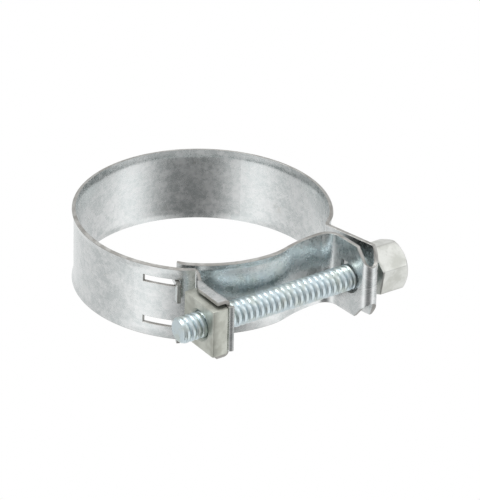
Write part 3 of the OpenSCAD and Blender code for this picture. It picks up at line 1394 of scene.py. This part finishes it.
@dataclass
class SquareNut:
    """The square nut, countersunk round its thread on both sides."""

    low: Vector
    high: Vector
    bore_radius: float = 2.56
    sink_radius: float = 3.2
    sink_depth: float = 0.5
    rounding: float = 0.15
    squareness: float = 60.0
    points: int = 192

    def _square(self, x: float, inset: float) -> list[Vector]:
        """Returns one loop round the nut's sides, moved inward by inset.

        Args:
            x: place along the screw's axis.
            inset: how far inside the full outline.

        Returns:
            The points of the loop.
        """
        centre = (self.low + self.high) / 2
        half = (self.high.y - self.low.y) / 2 - inset
        loop = []
        for m in range(self.points):
            angle = math.tau * m / self.points
            c, s = abs(math.cos(angle)), abs(math.sin(angle))
            radius = half / (c ** self.squareness + s ** self.squareness) ** (1 / self.squareness)
            out = Vector((0.0, math.cos(angle), math.sin(angle)))
            loop.append(Vector((x, centre.y, centre.z)) + radius * out)
        return loop

    def _circle(self, x: float, radius: float) -> list[Vector]:
        """Returns one loop round the nut's bore.

        Args:
            x: place along the screw's axis.
            radius: the radius of the loop.

        Returns:
            The points of the loop.
        """
        centre = (self.low + self.high) / 2
        angles = [math.tau * m / self.points for m in range(self.points)]
        return [Vector((x, centre.y + radius * math.cos(a), centre.z + radius * math.sin(a))) for a in angles]

    def build(self, materials: Sequence[bpy.types.Material]) -> bpy.types.Object:
        """Builds the nut.

        Args:
            materials: the materials, in slot order.

        Returns:
            The finished piece.
        """
        front, back, soft = self.low.x, self.high.x, self.rounding
        loops = [
            self._circle(front + self.sink_depth, self.bore_radius),
            self._circle(front + 0.06, self.sink_radius - 0.1),
            self._circle(front, self.sink_radius),
            self._circle(front, self.sink_radius + 0.6),
            self._square(front, soft + 0.5),
            self._square(front, soft),
            self._square(front + soft * 0.3, soft * 0.3),
            self._square(front + soft, 0.0),
            self._square(back - soft, 0.0),
            self._square(back - soft * 0.3, soft * 0.3),
            self._square(back, soft),
            self._circle(back, self.sink_radius),
            self._circle(back - self.sink_depth, self.bore_radius),
        ]
        return turned_solid("square_nut", loops, materials, True, 30.0)


# ---------------------------------------------------------------- studio


@dataclass
class Studio:
    """Pale floor, soft light all round and the camera."""

    camera_at: tuple[float, float, float] = (-0.36205, -0.52672, 0.34788)
    looking: tuple[float, float, float] = (0.5052, 0.7175, -0.4796)
    roll: float = 1.47
    lens: float = 277.8
    floor_size: float = 6.0
    floor_gap: float = 0.0001
    round_stops: tuple[tuple[float, float], ...] = (
        (0.0, 0.98), (0.06, 0.84), (0.18, 0.78), (0.33, 0.70), (0.45, 0.78), (0.58, 0.92),
        (0.68, 1.16), (0.77, 1.20), (0.85, 0.94), (0.925, 0.50), (0.97, 0.27), (1.0, 0.22),
    )
    dark_turn: float = 12.0
    sky: float = 1.15
    low_sky: float = 0.62
    horizon: tuple[float, float] = (-0.12, 0.30)
    high_sky: tuple[float, float] = (0.55, 0.85)
    sensor: float = 36.0
    key: tuple[float, float, float] = (-0.35, 0.15, 0.55)
    fill: tuple[float, float, float] = (0.45, -0.35, 0.35)

    def add_floor(self, lowest: float) -> None:
        """Adds the pale floor just under the clamp.

        Args:
            lowest: the clamp's lowest height, in metres.
        """
        mesh = bpy.data.meshes.new("floor")
        half, level = self.floor_size / 2, lowest - self.floor_gap
        corners = [(x * half, y * half, level) for x, y in ((-1, -1), (1, -1), (1, 1), (-1, 1))]
        mesh.from_pydata(corners, [], [(0, 1, 2, 3)])
        floor = bpy.data.objects.new("floor", mesh)
        bpy.context.scene.collection.objects.link(floor)
        material, bench = new_material("white_floor")
        glow = bench.node("ShaderNodeEmission", {}, {"Color": (1.0, 1.0, 1.0, 1.0), "Strength": 1.0})
        bench.node("ShaderNodeOutputMaterial", {}, {"Surface": glow.outputs[0]})
        mesh.materials.append(material)
        floor.visible_glossy = False
        floor.visible_diffuse = False
        floor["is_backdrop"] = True

    def add_light(self) -> None:
        """Adds soft light from all round, darker beside the viewer, and two large lamps."""
        world = bpy.data.worlds.new("studio")
        bpy.context.scene.world = world
        world.use_nodes = True
        bench = Bench(world.node_tree)
        way = bench.node("ShaderNodeTexCoord").outputs["Generated"]
        flat = bench.node("ShaderNodeVectorMath", {"operation": "MULTIPLY"}, {0: way, 1: (1.0, 1.0, 0.0)})
        level = bench.node("ShaderNodeVectorMath", {"operation": "NORMALIZE"}, {0: flat.outputs[0]})
        toward = Vector((-self.looking[0], -self.looking[1], 0.0)).normalized()
        toward.rotate(Matrix.Rotation(math.radians(self.dark_turn), 3, "Z"))
        facing = bench.node("ShaderNodeVectorMath", {"operation": "DOT_PRODUCT"},
                            {0: level.outputs[0], 1: tuple(toward)})
        share = Value(bench, facing.outputs["Value"]) * 0.5 + 0.5
        ramp = bench.node("ShaderNodeValToRGB", {"stops": self.round_stops}, {0: share})
        ramp.color_ramp.interpolation = "LINEAR"
        height = bench.node("ShaderNodeSeparateXYZ", {}, {0: way}).outputs[2]
        up = bench.step(Value(bench, height), *self.horizon)
        above = bench.step(Value(bench, height), *self.high_sky) * (self.sky - self.low_sky) + self.low_sky
        around = bench.mix(up, ramp.outputs[0], bench.mix(above, (0.0, 0.0, 0.0), (1.0, 1.0, 1.0)))
        glow = bench.node("ShaderNodeBackground", {}, {"Color": around, "Strength": 1.0})
        bench.node("ShaderNodeOutputWorld", {}, {"Surface": glow.outputs[0]})
        self._lamp("key_lamp", self.key, 0.35, 1.3)
        self._lamp("fill_lamp", self.fill, 0.30, 0.3)

    def _lamp(self, name: str, at: tuple[float, float, float], size: float, power: float) -> None:
        """Adds one square soft lamp aimed at the clamp.

        Args:
            name: the lamp's name.
            at: where it hangs, in metres.
            size: its side, in metres.
            power: its power in watts.
        """
        light = bpy.data.lights.new(name, "AREA")
        light.shape, light.size, light.energy = "SQUARE", size, power
        lamp = bpy.data.objects.new(name, light)
        lamp.location = at
        lamp.rotation_mode = "QUATERNION"
        lamp.rotation_quaternion = (-Vector(at)).to_track_quat("-Z", "Y")
        bpy.context.scene.collection.objects.link(lamp)

    def add_camera(self) -> None:
        """Adds the camera."""
        ahead = Vector(self.looking).normalized()
        level = ahead.cross(Vector((0.0, 0.0, 1.0))).normalized()
        upward = level.cross(ahead)
        c, s = math.cos(math.radians(self.roll)), math.sin(math.radians(self.roll))
        right, up = level * c + upward * s, upward * c - level * s
        data = bpy.data.cameras.new("camera")
        data.lens, data.sensor_width = self.lens, self.sensor
        data.clip_start, data.clip_end = 0.01, 20.0
        camera = bpy.data.objects.new("camera", data)
        camera.matrix_world = Matrix((
            (right.x, up.x, -ahead.x, self.camera_at[0]),
            (right.y, up.y, -ahead.y, self.camera_at[1]),
            (right.z, up.z, -ahead.z, self.camera_at[2]),
            (0.0, 0.0, 0.0, 1.0),
        ))
        bpy.context.scene.collection.objects.link(camera)
        bpy.context.scene.camera = camera


# ---------------------------------------------------------------- the whole clamp


def show(piece: bpy.types.Object, slot: Plating, *nodes: Part) -> None:
    """Hides the plain nodes that a piece is shown in place of, and reports it.

    Args:
        piece: the piece.
        slot: not used.
        nodes: the plain nodes that it is shown in place of.
    """
    if nodes:
        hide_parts(*(node.value for node in nodes))
    LOG.info("%s: %d faces", piece.name, len(piece.data.polygons))


@dataclass
class Clamp:
    """The whole clamp; its screw, nut and flanges ride on the bodies of the frame."""

    frame: dict
    strip: Strip = field(default_factory=Strip)
    root_side: Vector = field(default_factory=lambda: Vector((0.3, 0.0, 0.0)))
    tongue_side: Vector = field(default_factory=lambda: Vector((-5.0, -0.6, 0.0)))

    def pivot(self, joint: str) -> Vector:
        """Returns where a hinge of the frame stands, in metres."""
        return next(Vector(j["pos_m"]) for j in self.frame["joints"] if j["name"] == joint)

    def add_strip(self) -> None:
        """Builds the strip's pieces and the nut ear's two flanges."""
        strip, line = self.strip, self.strip.line
        dress = [SatinZinc().material(), ShearedEdge().material()]
        tongue = strip.tongue(dress)
        root = self.pivot("tongue_flex")
        tuple(root + self.root_side * MM)
        tuple(root + self.tongue_side * MM)
        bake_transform(tongue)
        show(tongue, Plating.STRIP, Part.TONGUE)
        ear = strip.screw_ear(dress)
        strip.middle_point(line.starts["ring"])
        strip.middle_point(strip.zone_middle(0))
        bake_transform(ear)
        show(ear, Plating.STRIP, Part.SCREW_EAR)
        around = [Part.RIGHT, Part.REAR_RIGHT, Part.REAR, Part.REAR_LEFT, Part.SLOTTED]
        for zone, (before, after) in enumerate(zip(around, around[1:])):
            ring = strip.ring(f"ring_{before.value.removeprefix('band_')}", zone, dress)
            strip.middle_point(strip.zone_middle(zone))
            strip.middle_point(strip.zone_middle(zone + 1))
            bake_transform(ring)
            show(ring, Plating.STRIP, before)
        plate = strip.nut_ear(dress)
        strip.middle_point(strip.zone_middle(strip.zones - 1))
        strip.middle_point(line.starts["nut_bend"])
        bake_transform(plate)
        show(plate, Plating.STRIP, Part.SLOTTED, Part.NUT_EAR)
        for name, side in (("nut_ear_upper_flange", 1.0), ("nut_ear_lower_flange", -1.0)):
            flange = strip.flange(name, side, dress)
            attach(flange, Part.NUT_EAR.value)
            show(flange, Plating.STRIP)

    def add_screw(self) -> None:
        """Builds the screw in the place of its node."""
        low, high = (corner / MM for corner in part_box(Part.SCREW.value))
        screw = HexScrew(low.x, high.x, self.pivot("screw_turn").y / MM)
        thread = screw.shank([BrightZinc().material()])
        head = screw.head([HEAD_ZINC.material()])
        for piece, nodes in ((thread, (Part.SCREW,)), (head, ())):
            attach(piece, Part.SCREW.value)
            show(piece, Plating.SCREW, *nodes)

    def add_nut(self) -> None:
        """Builds the nut in the place of its node."""
        low, high = (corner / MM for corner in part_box(Part.NUT.value))
        nut = SquareNut(low, high).build([NUT_ZINC.material()])
        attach(nut, Part.NUT.value)
        show(nut, Plating.NUT, Part.NUT)


def main() -> None:
    """Builds the clamp, the studio and the camera."""
    logging.basicConfig(level=logging.INFO, format="%(message)s")
    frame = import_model()
    made_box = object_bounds()
    clamp = Clamp(frame)
    clamp.add_strip()
    clamp.add_screw()
    clamp.add_nut()
    studio = Studio()
    studio.add_floor(made_box[0].z)
    studio.add_light()
    studio.add_camera()
    bpy.context.scene.view_settings.view_transform = "Standard"


if __name__ == "__main__":
    main()
